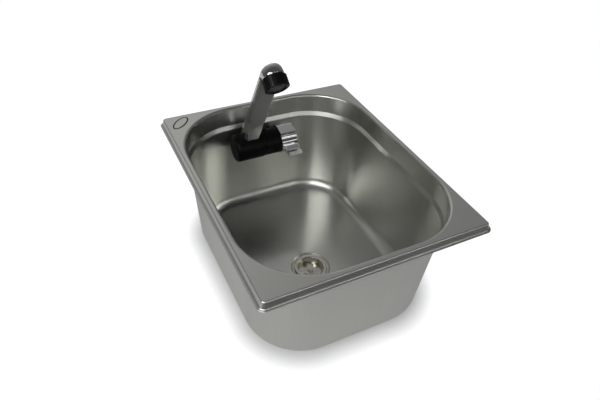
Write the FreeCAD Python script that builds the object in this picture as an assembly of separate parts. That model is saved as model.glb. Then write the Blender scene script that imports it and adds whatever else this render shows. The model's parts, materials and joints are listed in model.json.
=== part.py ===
"""Camping sink: a deep-drawn steel bowl with a strainer waste and a fold-down cold tap.

Millimetres, +Z up. The origin is the centre of the worktop cut-out, on the worktop's surface,
where the lip of the rim rests. +Y runs from the front of the bowl to the wall with the tap.
"""
import FreeCAD
import Part
import math
import os

from FreeCAD import Vector

# Bowl
rim_length_x = 265.0
rim_length_y = 325.0
rim_corner_radius = 8.0
rim_height = 9.0
rim_lip_width = 2.0
rim_edge_slant = 2.3
rim_bend_radius = 1.6
sheet = 0.8
flange_width_x = 10.5
flange_width_y = 11.75
opening_corner_radius = 78.0
opening_round = 3.0
bowl_depth = 150.0
collar_depth = 25.0
collar_draft = 0.8
shoulder_depth = 6.0
shoulder_step = 2.3
wall_draft = 9.0
shoulder_round = 2.0
base_round = 15.0
mark_length = 30.0
mark_width = 14.0
mark_groove = 1.4
mark_depth = 0.3
mark_inset = 22.0
mark_turn = 45.0

# Strainer waste
drain_y = -21.0
dish_radius = 25.0
dish_depth = 1.4
dish_slope = 1.2
dish_bend_radius = 1.0
drain_hole_radius = 17.6
drain_flange_radius = 21.0
drain_flange_thickness = 1.2
drain_cup_wall = 1.2
drain_cup_depth = 12.0
drain_ledge = 1.6
strainer_thickness = 1.4
strainer_hole_radius = 4.4
strainer_hole_pitch_radius = 10.4
strainer_hole_count = 5
strainer_hole_start = 64.0
drain_gasket_thickness = 0.7
drain_gasket_inset = 1.0
under_gasket_thickness = 2.0
drain_body_radius = 24.0
drain_body_wall = 2.4
drain_body_height = 30.0
drain_spigot_radius = 10.0
drain_spigot_bore = 8.0
drain_spigot_length = 30.0
drain_spigot_tip = 8.0
hose_grip_depth = 0.5
hose_grip_count = 3
spider_width = 4.0
spider_height = 5.0
drain_boss_radius = 5.0
drain_screw_radius = 2.5
drain_screw_head_radius = 4.0
drain_screw_head_height = 2.2
drain_slot_width = 1.0
drain_slot_depth = 1.1
drain_insert_radius = 3.4

# Tap, along an axis that runs left to right in front of the back wall
tap_drop = 46.0
tap_wall_distance = 21.6
sleeve_left = -47.0
joint_x = -9.0
body_right = 15.0
sleeve_radius = 18.3
body_radius = 17.6
sleeve_end_round = 4.0
cap_thickness = 5.0
cap_plug_wall = 1.2
cap_plug_length = 1.0
cap_recess = 2.0
pivot_radius = 8.0
pivot_bore = 5.0
pivot_end_wall = 6.0
pivot_seat = 7.0
pivot_length = 31.0
pivot_port_radius = 4.0
pivot_channel_depth = 1.0
pivot_channel_width = 10.0
retainer_radius = 11.0
retainer_thickness = 1.5
pivot_screw_radius = 2.0
pivot_screw_length = 8.0
pivot_screw_head_radius = 4.0
pivot_screw_head_height = 2.0
pivot_screw_slot = 1.0
seal_section = 1.6
stop_lug_length = 8.0
stop_lug_height = 2.2
stop_lug_width = 3.5
stop_lug_angle = 105.0

# Wall fixing of the tap
tail_x = 3.0
foot_radius = 11.4
foot_face_gap = 2.4
wall_gasket_radius = 11.8
tail_radius = 10.0
tail_spigot_radius = 8.0
tail_spigot_length = 7.0
tail_length = 27.0
tail_bore = 4.0
wall_hole_clearance = 0.6
back_washer_radius = 13.0
back_washer_thickness = 2.6
lock_nut_across_flats = 28.0
lock_nut_height = 6.0
nozzle_radius = 5.0
nozzle_bore = 3.5
nozzle_length = 20.0
nozzle_plug_radius = 6.5
nozzle_plug_length = 8.0
nozzle_collar = 2.5
nozzle_collar_radius = 9.0
nozzle_tip = 7.0

# Spout, drawn upright on the tap axis and then leaned forward
spout_x = -23.3
spout_lean = 27.6
spout_left_reach = 12.4
spout_right_reach = 12.4
spout_swell = 3.3
spout_front = 7.0
spout_back = 17.0
spout_back_chamfer = 4.0
spout_waist_height = 42.0
spout_waist_left = 9.0
spout_waist_right = 2.5
spout_waist_shoulder = 4.0
spout_arm_height = 73.0
spout_arm_chamfer = 0.8
spout_foot_front = -4.5
spout_foot_left = 4.0
spout_foot_left_shoulder = 5.0
spout_foot_right = 7.0
spout_foot_right_shoulder = 2.0
spout_spigot_y = 3.0
spout_spigot_radius = 5.0
spout_spigot_depth = 6.0
spout_bore = 3.5
head_height = 150.0
head_radius = 14.0
head_collar = 4.0
head_dome = 12.5
head_dome_fullness = 0.74
outlet_tilt = 10.4
outlet_offset = 2.1
outlet_recess = 10.0
grub_radius = 2.0
grub_length = 9.0
grub_slot_depth = 1.0
grub_slot_width = 0.8

# Spray nozzle
ring_radius = 14.4
ring_length = 14.0
ring_face_wall = 1.6
ring_lip_radius = 10.2
ring_tooth_count = 40
ring_tooth_depth = 0.7
ring_thread_radius = 11.8
ring_gap = 0.5
spray_radius = 11.4
spray_thickness = 2.5
spray_hole_radius = 0.8
spray_rows = 3
spray_row_pitch = 2.9
nozzle_gasket_thickness = 1.5
nozzle_gasket_bore = 8.0

# Valve, lever and pump switch
valve_radius = 9.0
valve_length = 11.4
valve_port_radius = 3.5
spindle_port_radius = 3.0
inlet_port_radius = 2.5
stem_radius = 4.0
stem_end = 32.0
valve_seal_inset = 2.0
bonnet_length = 3.0
lever_radius = 19.0
lever_cavity_radius = 16.8
lever_right = 37.6
lever_end_wall = 4.5
lever_hub_radius = 7.5
lever_hub_length = 8.5
lever_tab_left = 18.6
lever_reach = 34.0
lever_tab_thickness = 5.5
lever_tab_angle = 9.0
lever_web_reach = 15.2
lever_web_drop = 7.7
lever_groove_depth = 1.5
lever_wide_groove_radius = 60.0
lever_wide_groove_angle = 74.0
lever_mid_groove_radius = 9.0
lever_mid_groove_angle = 33.0
tab_groove_radius = 2.6
tab_groove_depth = 0.9
tab_groove_count = 3
tab_groove_pitch = 4.4
tab_tip_land = 1.0
lever_screw_radius = 1.8
lever_screw_length = 9.0
lever_screw_end_gap = 1.0
lever_screw_head_radius = 3.6
lever_screw_head_height = 2.2
lever_cap_thickness = 1.2
lever_swing = 80.0
carrier_thickness = 1.6
carrier_radius = 15.4
switch_length = 12.8
switch_width = 5.8
switch_height = 6.0
switch_drop = 8.8
switch_hole_pitch = 9.5
switch_screw_radius = 1.1
switch_screw_head_radius = 1.9
switch_screw_head_height = 1.2
switch_screw_grip = 6.0
plunger_radius = 1.0
plunger_inside = 2.5
plunger_travel = 0.8
cam_width = 4.0
cam_low = 5.4
cam_dwell = 12.0
cam_step = 4

# Clearances
running_gap = 0.05
seat_gap = 0.05
part_gap = 0.3
cut_margin = 1.0
tolerance = 0.01

rim_top = rim_height
base_top = rim_top - bowl_depth + sheet
core_x = rim_length_x / 2 - flange_width_x - opening_corner_radius
core_y = rim_length_y / 2 - flange_width_y - opening_corner_radius
UP = Vector(0, 0, 1)
ALONG_X = Vector(1, 0, 0)
ALONG_Y = Vector(0, 1, 0)


def rod(radius, start, axis, length):
    return Part.makeCylinder(radius, length, start, axis)


def pipe(outer, inner, start, axis, length):
    return rod(outer, start, axis, length).cut(rod(inner, start, axis, length))


def block(low, high):
    size = high - low
    return Part.makeBox(size.x, size.y, size.z, low)


def prism(corners, sweep):
    """A straight solid on a flat outline of corners."""
    wire = Part.makePolygon(corners + [corners[0]])
    return Part.Face(wire).extrude(sweep)


def joined(shapes):
    return shapes[0].multiFuse(shapes[1:]).removeSplitter()


def turned(profile, centre, axis):
    """A full turn of a flat outline of corners."""
    wire = Part.makePolygon(profile + [profile[0]])
    return Part.Face(wire).revolve(centre, axis, 360)


# Sheet-metal profiles: a line of (offset, height) points, thickened to its left

def left_normal(a, b):
    length = math.hypot(b[0] - a[0], b[1] - a[1])
    return (-(b[1] - a[1]) / length, (b[0] - a[0]) / length)


def turn_of(a, b, c):
    return (b[0] - a[0]) * (c[1] - b[1]) - (b[1] - a[1]) * (c[0] - b[0])


def shifted(points, gap):
    """The same line, moved to its left by the gap."""
    moved = []
    last = len(points) - 1
    for i, point in enumerate(points):
        before = left_normal(points[max(i - 1, 0)], points[max(i, 1)])
        after = left_normal(points[min(i, last - 1)], points[min(i + 1, last)])
        share = gap / (1 + before[0] * after[0] + before[1] * after[1])
        step = (share * (before[0] + after[0]), share * (before[1] + after[1]))
        moved.append((point[0] + step[0], point[1] + step[1]))
    return moved


def rounded_edges(points, radii, place):
    """Straight runs with a tangent arc at each inner point."""
    edges = []
    start = points[0]
    for i in range(1, len(points) - 1):
        a, b, c = points[i - 1], points[i], points[i + 1]
        to_a = ((a[0] - b[0]), (a[1] - b[1]))
        to_c = ((c[0] - b[0]), (c[1] - b[1]))
        unit_a = [v / math.hypot(*to_a) for v in to_a]
        unit_c = [v / math.hypot(*to_c) for v in to_c]
        half = math.acos(max(-1, min(1, unit_a[0] * unit_c[0] + unit_a[1] * unit_c[1]))) / 2
        reach = radii[i - 1] / math.tan(half)
        first = (b[0] + unit_a[0] * reach, b[1] + unit_a[1] * reach)
        second = (b[0] + unit_c[0] * reach, b[1] + unit_c[1] * reach)
        middle = [unit_a[0] + unit_c[0], unit_a[1] + unit_c[1]]
        size = math.hypot(*middle)
        depth = radii[i - 1] / math.sin(half) - radii[i - 1]
        crown = (b[0] + middle[0] / size * depth, b[1] + middle[1] / size * depth)
        edges.append(Part.LineSegment(place(start), place(first)).toShape())
        edges.append(Part.Arc(place(first), place(crown), place(second)).toShape())
        start = second
    edges.append(Part.LineSegment(place(start), place(points[-1])).toShape())
    return edges


def sheet_face(points, radii, gauge, place):
    other = shifted(points, gauge)
    other_radii = []
    for i, radius in enumerate(radii):
        left = turn_of(points[i], points[i + 1], points[i + 2]) > 0
        other_radii.append(radius - gauge if left else radius + gauge)
    edges = rounded_edges(points, radii, place)
    edges.append(Part.LineSegment(place(points[-1]), place(other[-1])).toShape())
    edges += reversed(rounded_edges(other, other_radii, place))
    edges.append(Part.LineSegment(place(other[0]), place(points[0])).toShape())
    return Part.Face(Part.Wire(edges))


def swept_round(half_x, half_y, points, radii, gauge):
    """A sheet profile carried round a rectangle, with a quarter turn at each corner."""
    side = sheet_face(points, radii, gauge, lambda p: Vector(half_x + p[0], -half_y, p[1]))
    end = sheet_face(points, radii, gauge, lambda p: Vector(half_x, half_y + p[0], p[1]))
    turn = sheet_face(points, radii, gauge, lambda p: Vector(half_x + p[0], half_y, p[1]))
    right = side.extrude(Vector(0, 2 * half_y, 0))
    back = end.extrude(Vector(-2 * half_x, 0, 0))
    corner = turn.revolve(Vector(half_x, half_y, 0), UP, 90)
    origin = Vector(0, 0, 0)
    across = [corner, corner.mirror(origin, ALONG_X)]
    corners = across + [c.mirror(origin, ALONG_Y) for c in across]
    return [right, right.mirror(origin, ALONG_X), back, back.mirror(origin, ALONG_Y)] + corners


def rounded_plate(half_x, half_y, radius, bottom, thickness):
    top = bottom + thickness
    inner_x = half_x - radius
    inner_y = half_y - radius
    long_way = block(Vector(-half_x, -inner_y, bottom), Vector(half_x, inner_y, top))
    wide_way = block(Vector(-inner_x, -half_y, bottom), Vector(inner_x, half_y, top))
    posts = []
    for x in (-inner_x, inner_x):
        for y in (-inner_y, inner_y):
            posts.append(rod(radius, Vector(x, y, bottom), UP, thickness))
    return joined([long_way, wide_way] + posts)


# Bowl profile, on its wet side, outwards from the middle of the corner curves
shoulder_top = rim_top - collar_depth
shoulder_bottom = shoulder_top - shoulder_depth
collar_offset = opening_corner_radius - collar_draft
wall_top_offset = collar_offset - shoulder_step
wall_foot_offset = wall_top_offset - wall_draft
bowl_start = opening_corner_radius + opening_round + sheet
bowl_line = [
    (bowl_start, rim_top),
    (opening_corner_radius, rim_top),
    (collar_offset, shoulder_top),
    (wall_top_offset, shoulder_bottom),
    (wall_foot_offset, base_top),
    (0.0, base_top),
]
bowl_radii = [opening_round, shoulder_round, shoulder_round, base_round]


def wall_y(z):
    """The inner face of the back wall at a height below the shoulder."""
    share = (shoulder_bottom - z) / (shoulder_bottom - base_top)
    return core_y + wall_top_offset - wall_draft * share


wall_lean = math.atan2(wall_draft, shoulder_bottom - base_top)
wall_thickness_y = sheet / math.cos(wall_lean)

# Axes and stations of the tap
tap_z = rim_top - tap_drop
tap_y = wall_y(tap_z) - tap_wall_distance
sleeve_right = joint_x - part_gap
cap_seat = sleeve_left + cap_thickness
pivot_left = joint_x - pivot_length
foot_face = wall_y(tap_z) - foot_face_gap
tail_end = foot_face + tail_length


def on_axis(x):
    return Vector(x, tap_y, tap_z)


def axial(radius, left, right):
    return rod(radius, on_axis(left), ALONG_X, right - left)


def axial_pipe(outer, inner, left, right):
    return axial(outer, left, right).cut(axial(inner, left, right))


def forward_up(forward, up, x):
    """A point given by its reach in front of the tap axis and above it."""
    return Vector(x, tap_y - forward, tap_z + up)


def to_wall(y):
    return Vector(tail_x, y, tap_z)


def leaned(shape):
    """Places a piece drawn upright on the tap axis."""
    placed = shape.copy()
    placed.rotate(Vector(0, 0, 0), ALONG_X, spout_lean)
    placed.translate(on_axis(0))
    return placed


def make_basin():
    pieces = swept_round(core_x, core_y, bowl_line, bowl_radii, sheet)
    rim_core_x = rim_length_x / 2 - rim_corner_radius
    rim_core_y = rim_length_y / 2 - rim_corner_radius
    flat_edge = rim_corner_radius - rim_lip_width - rim_edge_slant
    flat_start = flat_edge - rim_bend_radius
    rim_line = [
        (rim_corner_radius, sheet),
        (rim_corner_radius - rim_lip_width, sheet),
        (flat_edge, rim_top),
        (flat_start, rim_top),
    ]
    rim_radii = [rim_bend_radius, rim_bend_radius]
    pieces += swept_round(rim_core_x, rim_core_y, rim_line, rim_radii, sheet)
    under = rim_top - sheet
    flange = rounded_plate(rim_core_x + flat_start, rim_core_y + flat_start, flat_start, under, sheet)
    gap = rounded_plate(core_x + bowl_start, core_y + bowl_start, bowl_start, under, sheet)
    pieces.append(flange.cut(gap))
    base = block(Vector(-core_x, -core_y, base_top - sheet), Vector(core_x, core_y, base_top))
    centre = Vector(0, drain_y, 0)
    dish_edge = dish_radius + dish_slope
    base = base.cut(rod(dish_edge, centre + UP * (base_top - sheet), UP, sheet))
    dish_line = [
        (dish_edge, base_top),
        (dish_radius, base_top),
        (dish_radius - dish_slope, base_top - dish_depth),
        (drain_hole_radius, base_top - dish_depth),
    ]
    dish_radii = [dish_bend_radius, dish_bend_radius]
    dish = sheet_face(dish_line, dish_radii, sheet, lambda p: Vector(p[0], drain_y, p[1]))
    pieces += [base, dish.revolve(centre, UP, 360)]
    bowl = joined(pieces)
    hole_length = tap_wall_distance + wall_thickness_y + cut_margin
    hole = rod(tail_radius + wall_hole_clearance, to_wall(tap_y), ALONG_Y, hole_length)
    return bowl.cut(hole).cut(make_mark_groove())


def make_mark_groove():
    """A bare oval line pressed into the flange at its back left corner."""
    ovals = []
    for inset in (0.0, mark_groove):
        oval = Part.Ellipse(Vector(0, 0, 0), mark_length / 2 - inset, mark_width / 2 - inset)
        ovals.append(Part.Face(Part.Wire([oval.toShape()])).extrude(Vector(0, 0, mark_depth)))
    groove = ovals[0].cut(ovals[1])
    groove.rotate(Vector(0, 0, 0), UP, mark_turn)
    mark_x = -rim_length_x / 2 + mark_inset
    mark_y = rim_length_y / 2 - mark_inset
    groove.translate(Vector(mark_x, mark_y, rim_top - mark_depth))
    return groove


# Strainer waste, stacked down from the dish
dish_top = base_top - dish_depth
flange_bottom = dish_top + drain_gasket_thickness
cup_radius = drain_hole_radius - part_gap
cup_inner = cup_radius - drain_cup_wall
cup_bottom = flange_bottom + drain_flange_thickness - drain_cup_depth
ledge_top = cup_bottom + drain_flange_thickness
strainer_top = ledge_top + strainer_thickness
dish_under = dish_top - sheet
drain_body_top = dish_under - under_gasket_thickness
drain_body_bottom = drain_body_top - drain_body_height
spider_top = cup_bottom - part_gap
drain_inner = drain_body_radius - drain_body_wall
spigot_z = drain_body_bottom + drain_body_wall + drain_spigot_bore
screw_length = strainer_top - spider_top + spider_height


def on_drain(z):
    return Vector(0, drain_y, z)


def make_drain_flange():
    flange = pipe(drain_flange_radius, cup_inner, on_drain(flange_bottom), UP, drain_flange_thickness)
    cup = pipe(cup_radius, cup_inner, on_drain(cup_bottom), UP, drain_cup_depth)
    ledge = pipe(cup_inner, cup_inner - drain_ledge, on_drain(cup_bottom), UP, drain_flange_thickness)
    return joined([flange, cup, ledge])


def make_strainer():
    plate = rod(cup_inner - seat_gap, on_drain(ledge_top), UP, strainer_thickness)
    holes = [rod(drain_screw_radius + seat_gap, on_drain(ledge_top), UP, strainer_thickness)]
    for i in range(strainer_hole_count):
        angle = math.radians(strainer_hole_start + 360 * i / strainer_hole_count)
        spot = Vector(math.cos(angle), math.sin(angle), 0) * strainer_hole_pitch_radius
        holes.append(rod(strainer_hole_radius, on_drain(ledge_top) + spot, UP, strainer_thickness))
    return plate.cut(holes)


def make_drain_screw():
    head_base = on_drain(strainer_top)
    head_top_radius = drain_screw_head_radius / 2
    head = Part.makeCone(drain_screw_head_radius, head_top_radius, drain_screw_head_height, head_base, UP)
    slot_half = Vector(drain_screw_head_radius, drain_slot_width / 2, 0)
    slot_low = on_drain(strainer_top + drain_screw_head_height - drain_slot_depth)
    slot = block(slot_low - slot_half, slot_low + slot_half + UP * drain_slot_depth)
    shank = rod(drain_screw_radius, on_drain(strainer_top - screw_length), UP, screw_length)
    return joined([head, shank]).cut(slot)


def make_drain_body():
    shell = rod(drain_body_radius, on_drain(drain_body_bottom), UP, drain_body_height)
    floor = drain_body_bottom + drain_body_wall
    pot = rod(drain_inner, on_drain(floor), UP, drain_body_top - floor)
    spigot_root = on_drain(spigot_z)
    spigot_reach = drain_body_radius + drain_spigot_length
    spigot = rod(drain_spigot_radius, spigot_root, ALONG_X, spigot_reach)
    way = rod(drain_spigot_bore, spigot_root, ALONG_X, spigot_reach)
    grip_pitch = (drain_spigot_length - drain_spigot_tip) / (hose_grip_count + 1)
    for i in range(hose_grip_count):
        groove_at = spigot_root + ALONG_X * (spigot_reach - drain_spigot_tip - (i + 0.5) * grip_pitch)
        floor_radius = drain_spigot_radius - hose_grip_depth
        cutter = pipe(drain_spigot_radius + cut_margin, floor_radius, groove_at, ALONG_X, grip_pitch / 3)
        spigot = spigot.cut(cutter)
    spider_bottom = spider_top - spider_height
    bar_low = Vector(-drain_inner, -spider_width / 2, spider_bottom)
    bar = block(bar_low, Vector(drain_inner, spider_width / 2, spider_top))
    bar.translate(Vector(0, drain_y, 0))
    boss = rod(drain_boss_radius, on_drain(spider_bottom), UP, spider_height)
    insert_space = rod(drain_insert_radius, on_drain(spider_bottom), UP, spider_height)
    spider = joined([bar, boss]).cut(insert_space)
    hollow = joined([shell, spigot]).cut(pot).cut(way)
    return joined([hollow, spider])


def make_drain_insert():
    start = on_drain(spider_top - spider_height)
    return pipe(drain_insert_radius - seat_gap, drain_screw_radius + seat_gap, start, UP, spider_height)


# Tap

def make_tap_body():
    shell = axial(body_radius, joint_x, body_right)
    foot = rod(foot_radius, to_wall(tap_y), ALONG_Y, foot_face - tap_y)
    lug = block(
        Vector(-stop_lug_length / 2, -stop_lug_width / 2, 0),
        Vector(stop_lug_length / 2, stop_lug_width / 2, body_radius + stop_lug_height))
    lug.rotate(Vector(0, 0, 0), ALONG_X, 90 - stop_lug_angle)
    lug.translate(on_axis(joint_x + part_gap + stop_lug_length / 2))
    body = joined([shell, foot, lug])
    chamber_left = body_right - bonnet_length - valve_length - part_gap
    body = body.cut(axial(valve_radius, chamber_left, body_right))
    body = body.cut(axial(pivot_radius + seat_gap, joint_x, joint_x + pivot_seat))
    body = body.cut(axial(valve_port_radius, joint_x, chamber_left))
    socket_floor = to_wall(foot_face - tail_spigot_length)
    body = body.cut(rod(tail_spigot_radius + seat_gap, socket_floor, ALONG_Y, tail_spigot_length))
    body = body.cut(rod(inlet_port_radius, to_wall(tap_y), ALONG_Y, foot_face - tap_y))
    for y in switch_screw_places():
        start = Vector(body_right - switch_screw_grip - part_gap, y, switch_screw_z)
        body = body.cut(rod(switch_screw_radius + seat_gap, start, ALONG_X, switch_screw_grip + part_gap))
    return body


def wall_wedge(near, far_gap, z_half):
    """A flat-sided wedge between an upright plane and the leaning back wall."""
    low, high = tap_z - z_half, tap_z + z_half
    corners = [
        Vector(tail_x - z_half, near, low),
        Vector(tail_x - z_half, wall_y(low) + far_gap, low),
        Vector(tail_x - z_half, wall_y(high) + far_gap, high),
        Vector(tail_x - z_half, near, high),
    ]
    return prism(corners, Vector(2 * z_half, 0, 0))


def make_wall_gasket():
    wedge = wall_wedge(foot_face, 0.0, 2 * wall_gasket_radius)
    hole_radius = tail_radius + seat_gap
    disc = pipe(wall_gasket_radius, hole_radius, to_wall(tap_y), ALONG_Y, 2 * tap_wall_distance)
    return wedge.common(disc)


washer_face = wall_y(tap_z) + wall_thickness_y + back_washer_thickness


def make_back_washer():
    wedge = wall_wedge(washer_face, wall_thickness_y, 2 * back_washer_radius)
    hole_radius = tail_radius + seat_gap
    disc = pipe(back_washer_radius, hole_radius, to_wall(tap_y), ALONG_Y, 2 * tap_wall_distance)
    return wedge.common(disc)


def make_lock_nut():
    corner = lock_nut_across_flats / math.sqrt(3)
    corners = []
    for i in range(6):
        angle = math.radians(60 * i)
        corners.append(to_wall(washer_face) + Vector(math.cos(angle), 0, math.sin(angle)) * corner)
    nut = prism(corners, ALONG_Y * lock_nut_height)
    return nut.cut(rod(tail_radius + seat_gap, to_wall(washer_face), ALONG_Y, lock_nut_height))


def make_threaded_tail():
    tail = rod(tail_radius, to_wall(foot_face), ALONG_Y, tail_length)
    tail_start = to_wall(foot_face - tail_spigot_length + part_gap)
    spigot_length = tail_spigot_length - part_gap
    spigot = rod(tail_spigot_radius, tail_start, ALONG_Y, spigot_length)
    way = rod(tail_bore, tail_start, ALONG_Y, tail_length + spigot_length)
    socket_floor = to_wall(tail_end - nozzle_plug_length - part_gap)
    socket = rod(nozzle_plug_radius + seat_gap, socket_floor, ALONG_Y, nozzle_plug_length + part_gap)
    return joined([tail, spigot]).cut(way).cut(socket)


def make_hose_nozzle():
    plug = rod(nozzle_plug_radius, to_wall(tail_end - nozzle_plug_length), ALONG_Y, nozzle_plug_length)
    collar = rod(nozzle_collar_radius, to_wall(tail_end), ALONG_Y, nozzle_collar)
    spigot = rod(nozzle_radius, to_wall(tail_end), ALONG_Y, nozzle_length)
    grip_pitch = (nozzle_length - nozzle_collar - nozzle_tip) / hose_grip_count
    for i in range(hose_grip_count):
        start = to_wall(tail_end + nozzle_length - nozzle_tip - (i + 0.5) * grip_pitch)
        floor_radius = nozzle_radius - hose_grip_depth
        spigot = spigot.cut(pipe(nozzle_radius + cut_margin, floor_radius, start, ALONG_Y, grip_pitch / 3))
    bore_length = nozzle_plug_length + nozzle_length
    way = rod(nozzle_bore, to_wall(tail_end - nozzle_plug_length), ALONG_Y, bore_length)
    return joined([plug, collar, spigot]).cut(way)


# The spout turns on a brass tube that is screwed into the fixed body

seal_places = (spout_x - 2 * spout_spigot_radius, spout_x + 2 * spout_spigot_radius)


def make_pivot_tube():
    tube = axial(pivot_radius, pivot_left, joint_x + pivot_seat - seat_gap)
    tube = tube.cut(axial(pivot_bore, pivot_left + pivot_end_wall, joint_x + pivot_seat))
    tube = tube.cut(axial(pivot_screw_radius + seat_gap, pivot_left, pivot_left + pivot_end_wall))
    for x in seal_places:
        tube = tube.cut(seal_groove(x, pivot_radius))
    half = pivot_channel_width / 2
    channel_floor = pivot_radius - pivot_channel_depth
    tube = tube.cut(axial_pipe(pivot_radius + cut_margin, channel_floor, spout_x - half, spout_x + half))
    across = Vector(spout_x, tap_y, tap_z - pivot_radius)
    return tube.cut(rod(pivot_port_radius, across, UP, 2 * pivot_radius))


def seal_ring(x, outer):
    middle = outer - seal_section / 2
    return Part.makeTorus(middle, seal_section / 2, on_axis(x), ALONG_X)


def seal_groove(x, outer):
    half = seal_section / 2 + seat_gap
    return axial_pipe(outer + cut_margin, outer - seal_section - seat_gap, x - half, x + half)


def make_pivot_seals():
    return Part.makeCompound([seal_ring(x, pivot_radius) for x in seal_places])


def make_retaining_washer():
    hole_radius = pivot_screw_radius + seat_gap
    return axial_pipe(retainer_radius, hole_radius, pivot_left - retainer_thickness, pivot_left)


def make_pivot_screw():
    head_x = pivot_left - retainer_thickness
    head = axial(pivot_screw_head_radius, head_x - pivot_screw_head_height, head_x)
    shank = axial(pivot_screw_radius, head_x, head_x + pivot_screw_length - part_gap)
    slot_half = Vector(0, pivot_screw_head_radius, pivot_screw_slot / 2)
    slot_left = on_axis(head_x - pivot_screw_head_height)
    slot_depth = ALONG_X * pivot_screw_head_height / 2
    return joined([head, shank]).cut(block(slot_left - slot_half, slot_left + slot_half + slot_depth))


pocket_radius = retainer_radius + part_gap + cap_plug_wall + seat_gap


def spigot_point(height):
    return Vector(spout_x, spout_spigot_y, height)


def make_spout_sleeve():
    sleeve = axial(sleeve_radius, cap_seat, sleeve_right)
    sleeve = sleeve.cut(axial(pivot_radius + running_gap, cap_seat, sleeve_right))
    sleeve = sleeve.cut(axial(pocket_radius, cap_seat, pivot_left + part_gap))
    socket = rod(spout_spigot_radius + seat_gap, spigot_point(0), UP, sleeve_radius)
    sleeve = sleeve.cut(leaned(socket))
    return sleeve.cut(leaned(make_grub_screw_space(seat_gap)))


def make_sleeve_end_cap():
    cap = axial(sleeve_radius, sleeve_left, cap_seat)
    outer_edges = [e for e in cap.Edges if e.Closed and e.BoundBox.XMax < sleeve_left + tolerance]
    cap = cap.makeFillet(sleeve_end_round, outer_edges)
    plug_outer = pocket_radius - seat_gap
    plug = axial_pipe(plug_outer, plug_outer - cap_plug_wall, cap_seat, cap_seat + cap_plug_length)
    recess = axial(pivot_screw_head_radius + part_gap, cap_seat - cap_recess, cap_seat)
    return joined([cap, plug]).cut(recess)


grub_height = sleeve_radius - spout_spigot_depth / 2


def make_grub_screw_space(gap):
    start = Vector(cap_seat, spout_spigot_y, grub_height)
    return rod(grub_radius + gap, start, ALONG_X, spout_x - spout_spigot_radius - cap_seat)


def make_grub_screw():
    right = spout_x - spout_spigot_radius - seat_gap
    start = Vector(right - grub_length, spout_spigot_y, grub_height)
    slot_half = Vector(0, grub_radius, grub_slot_width / 2)
    slot = block(start - slot_half, start + slot_half + ALONG_X * grub_slot_depth)
    return leaned(rod(grub_radius, start, ALONG_X, grub_length).cut(slot))


def spout_section(height, front, left, right, right_reach):
    """One eight-sided section of the arm; left and right each hold a chamfer and a shoulder beside the front."""
    flank = spout_back - spout_back_chamfer
    outline = [
        (left[0] - spout_left_reach, front),
        (right_reach - right[0], front),
        (right_reach, right[1]),
        (right_reach, flank),
        (right_reach - spout_back_chamfer, spout_back),
        (spout_back_chamfer - spout_left_reach, spout_back),
        (-spout_left_reach, flank),
        (-spout_left_reach, left[1]),
    ]
    points = [Vector(spout_x + x, y, height) for x, y in outline]
    return Part.makePolygon(points + [points[0]])


outlet_axis = Vector(0, -math.cos(math.radians(outlet_tilt)), -math.sin(math.radians(outlet_tilt)))
outlet_root = Vector(spout_x, outlet_offset, head_height)


def outlet_point(along, out=0.0):
    """A point on the outlet axis, or beside it, below the collar of the head."""
    across = Vector(out, 0, 0)
    return outlet_root + outlet_axis * along + across


def make_spout():
    spigot_end = sleeve_radius - spout_spigot_depth
    waist_shoulder = spout_front + spout_waist_shoulder
    arm_side = (spout_arm_chamfer, spout_front + spout_arm_chamfer)
    foot_left = (spout_foot_left, spout_foot_left_shoulder)
    foot_right = (spout_foot_right, spout_foot_right_shoulder)
    waist_left = (spout_waist_left, waist_shoulder)
    waist_right = (spout_waist_right, waist_shoulder)
    swollen = spout_right_reach + spout_swell
    foot = spout_section(spigot_end, spout_foot_front, foot_left, foot_right, spout_right_reach)
    waist = spout_section(spout_waist_height, spout_front, waist_left, waist_right, swollen)
    arm = spout_section(spout_arm_height, spout_front, arm_side, arm_side, swollen)
    neck = spout_section(head_height, spout_front, arm_side, arm_side, spout_right_reach)
    runs = ((foot, waist), (waist, arm), (arm, neck))
    bar = joined([Part.makeLoft(list(run), True, True) for run in runs])
    bar = bar.cut(rod(sleeve_radius, Vector(sleeve_left, 0, 0), ALONG_X, -sleeve_left))
    apex = outlet_point(-head_collar - head_dome)
    collar_edge = outlet_point(-head_collar, head_radius)
    crown = outlet_point(-head_collar - head_dome * head_dome_fullness, head_radius * head_dome_fullness)
    dome = [
        Part.LineSegment(outlet_point(0.0), outlet_point(0.0, head_radius)).toShape(),
        Part.LineSegment(outlet_point(0.0, head_radius), collar_edge).toShape(),
        Part.Arc(collar_edge, crown, apex).toShape(),
        Part.LineSegment(apex, outlet_point(0.0)).toShape(),
    ]
    head = Part.Face(Part.Wire(dome)).revolve(outlet_root, outlet_axis, 360)
    nipple = rod(ring_thread_radius - part_gap, outlet_root, outlet_axis, head_nipple_length)
    spigot = rod(spout_spigot_radius, spigot_point(spigot_end), UP, spout_spigot_depth)
    body = joined([bar, head, nipple, spigot])
    bore_y = (spout_front + spout_back) / 2
    bends = [
        spigot_point(0),
        spigot_point(sleeve_radius),
        Vector(spout_x, bore_y, spout_waist_height),
        Vector(spout_x, bore_y, head_height),
    ]
    for start, end in zip(bends, bends[1:]):
        body = body.cut(rod(spout_bore, start, end - start, (end - start).Length))
        body = body.cut(Part.makeSphere(spout_bore, end))
    mouth = outlet_rod(nozzle_gasket_bore, -outlet_recess, head_nipple_length + outlet_recess)
    return leaned(body.cut(mouth))


# The spray nozzle is screwed onto the head and holds a gasket and a perforated disc

head_nipple_length = ring_length - ring_face_wall - spray_thickness - nozzle_gasket_thickness - 4 * seat_gap
spray_top = ring_length + ring_gap - ring_face_wall - spray_thickness - seat_gap
gasket_top = spray_top - nozzle_gasket_thickness - seat_gap


def outlet_rod(radius, start, length):
    return rod(radius, outlet_point(start), outlet_axis, length)


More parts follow.
